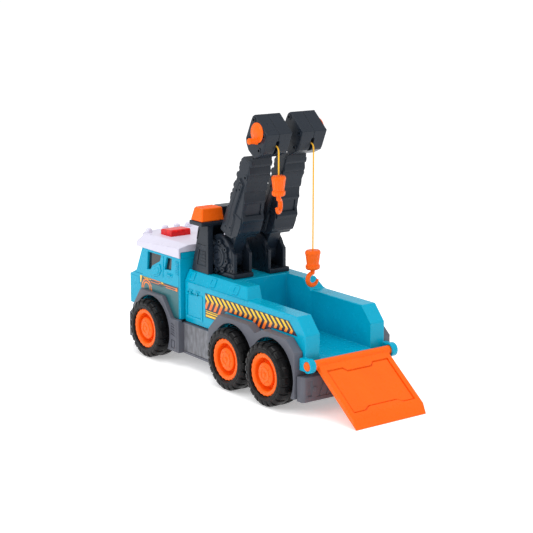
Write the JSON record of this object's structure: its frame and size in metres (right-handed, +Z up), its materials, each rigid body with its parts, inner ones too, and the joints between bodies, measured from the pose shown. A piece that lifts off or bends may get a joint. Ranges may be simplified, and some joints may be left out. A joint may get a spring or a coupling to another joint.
{
  "type": "toy tow truck",
  "caption": "Toy tow truck with crank-wound crane booms carrying hooks, a walled load bed, a fold-down rear ramp and free-rolling wheels.",
  "frame": {"origin": "on the ground, on the centreline, half way along the whole length from the lowered ramp's tip to the front bumper", "axes": "+X forward to the cab, +Y to the truck's left, +Z up"},
  "size_m": [0.3368, 0.122, 0.2421],
  "materials": {
    "teal_body": "semi-gloss moulded",
    "grey_trim": "satin moulded",
    "roof_white": "semi-gloss moulded",
    "slate": "satin moulded",
    "orange": "semi-gloss moulded",
    "tyre_black": "smooth vinyl",
    "steel": "plain",
    "cord_yellow": "braided polyester",
    "dark_glazing": "polished",
    "red_lens": "translucent, polished",
    "clear_lens": "polished",
    "board_green": "solder mask",
    "cell_wrap": "printed sleeve"
  },
  "bodies": {
    "truck": {"battery_cells": "cell_wrap", "battery_cover": "grey_trim", "beacon_left": "orange", "beacon_right": "orange", "bed_body": "teal_body", "boom_bracket_left": "slate", "boom_bracket_right": "slate", "cab_glazing": "dark_glazing", "cab_roof": "roof_white", "cab_shell": "teal_body", "chassis": "grey_trim", "circuit_board": "board_green", "fender_left": "grey_trim", "fender_right": "grey_trim", "front_bumper": "grey_trim", "front_grille": "dark_glazing", "headlamps": "clear_lens", "housing_screws": "steel", "hub_cap_left": "slate", "hub_cap_right": "slate", "lens_spring": "steel", "light_bar_base": "slate", "rear_bumper": "grey_trim", "roof_marker_lamps": "roof_white", "speaker": "slate", "tower_left": "slate", "tower_right": "slate"},
    "boom_left": {"boom_arm_left": "slate", "head_inner_left": "slate", "head_outer_left": "slate"},
    "winch_left": {"crank_left": "orange", "winch_drum_left": "slate"},
    "line_left": {"hoist_line_left": "cord_yellow"},
    "hook_left": {"pulley_block_left": "orange", "hook_left": "orange"},
    "boom_right": {"boom_arm_right": "slate", "head_inner_right": "slate", "head_outer_right": "slate"},
    "winch_right": {"crank_right": "orange", "winch_drum_right": "slate"},
    "line_right": {"hoist_line_right": "cord_yellow"},
    "hook_right": {"pulley_block_right": "orange", "hook_right": "orange"},
    "wheels_front": {"axle_front": "steel", "rim_front_left": "orange", "rim_front_right": "orange", "tyre_front_left": "tyre_black", "tyre_front_right": "tyre_black"},
    "wheels_middle": {"axle_middle": "steel", "rim_middle_left": "orange", "rim_middle_right": "orange", "tyre_middle_left": "tyre_black", "tyre_middle_right": "tyre_black"},
    "wheels_rear": {"axle_rear": "steel", "rim_rear_left": "orange", "rim_rear_right": "orange", "tyre_rear_left": "tyre_black", "tyre_rear_right": "tyre_black"},
    "ramp": {"ramp": "orange"},
    "lens_button": {"roof_lens": "red_lens"}
  },
  "joints": [
    {"name": "wheels_front_spin", "type": "hinge", "parent": "truck", "child": "wheels_front", "pos_m": [0.1199, 0, 0.028], "axis": [0, 1, 0], "continuous": true},
    {"name": "wheels_middle_spin", "type": "hinge", "parent": "truck", "child": "wheels_middle", "pos_m": [-0.014, 0, 0.028], "axis": [0, 1, 0], "continuous": true},
    {"name": "wheels_rear_spin", "type": "hinge", "parent": "truck", "child": "wheels_rear", "pos_m": [-0.0715, 0, 0.028], "axis": [0, 1, 0], "continuous": true},
    {"name": "boom_left_tilt", "type": "hinge", "parent": "truck", "child": "boom_left", "pos_m": [0.038, 0.0189, 0.1086], "axis": [0, 1, 0], "range_deg": [-50, 0]},
    {"name": "crank_left_turn", "type": "hinge", "parent": "boom_left", "child": "winch_left", "pos_m": [-0.02499, 0.0189, 0.22694], "axis": [0, 1, 0], "range_deg": [-126, 1152.1]},
    {"name": "line_left_hang", "type": "hinge", "parent": "boom_left", "child": "line_left", "pos_m": [-0.0339, 0.0189, 0.2155], "axis": [0, 1, 0], "range_deg": [0, 50]},
    {"name": "hook_left_hoist", "type": "slide", "parent": "line_left", "child": "hook_left", "axis": [0, 0, -1], "range_m": [-0.012, 0.1105], "deforming": ["hoist_line_left"]},
    {"name": "boom_right_tilt", "type": "hinge", "parent": "truck", "child": "boom_right", "pos_m": [0.038, -0.0189, 0.1086], "axis": [0, 1, 0], "range_deg": [-24, 0]},
    {"name": "crank_right_turn", "type": "hinge", "parent": "boom_right", "child": "winch_right", "pos_m": [-0.02499, -0.0189, 0.22694], "axis": [0, 1, 0], "range_deg": [-834.4, 422.9]},
    {"name": "line_right_hang", "type": "hinge", "parent": "boom_right", "child": "line_right", "pos_m": [-0.0339, -0.0189, 0.2155], "axis": [0, 1, 0], "range_deg": [0, 24]},
    {"name": "hook_right_hoist", "type": "slide", "parent": "line_right", "child": "hook_right", "axis": [0, 0, -1], "range_m": [-0.08, 0.0405], "deforming": ["hoist_line_right"]},
    {"name": "ramp_fold", "type": "hinge", "parent": "truck", "child": "ramp", "pos_m": [-0.1148, 0, 0.043], "axis": [0, 1, 0], "range_deg": [0, 126.8]},
    {"name": "lens_press", "type": "slide", "parent": "truck", "child": "lens_button", "axis": [0, 0, -1], "range_m": [0, 0.002], "stiffness_N_per_m": 300, "springref_m": -0.002, "deforming": ["lens_spring"]}
  ],
  "couplings": [
    {"joint": "line_left_hang", "follows": "boom_left_tilt", "ratio": -1},
    {"joint": "crank_left_turn", "follows": "hook_left_hoist", "rad_per_m": 181.82},
    {"joint": "line_right_hang", "follows": "boom_right_tilt", "ratio": -1},
    {"joint": "crank_right_turn", "follows": "hook_right_hoist", "rad_per_m": 181.82}
  ]
}
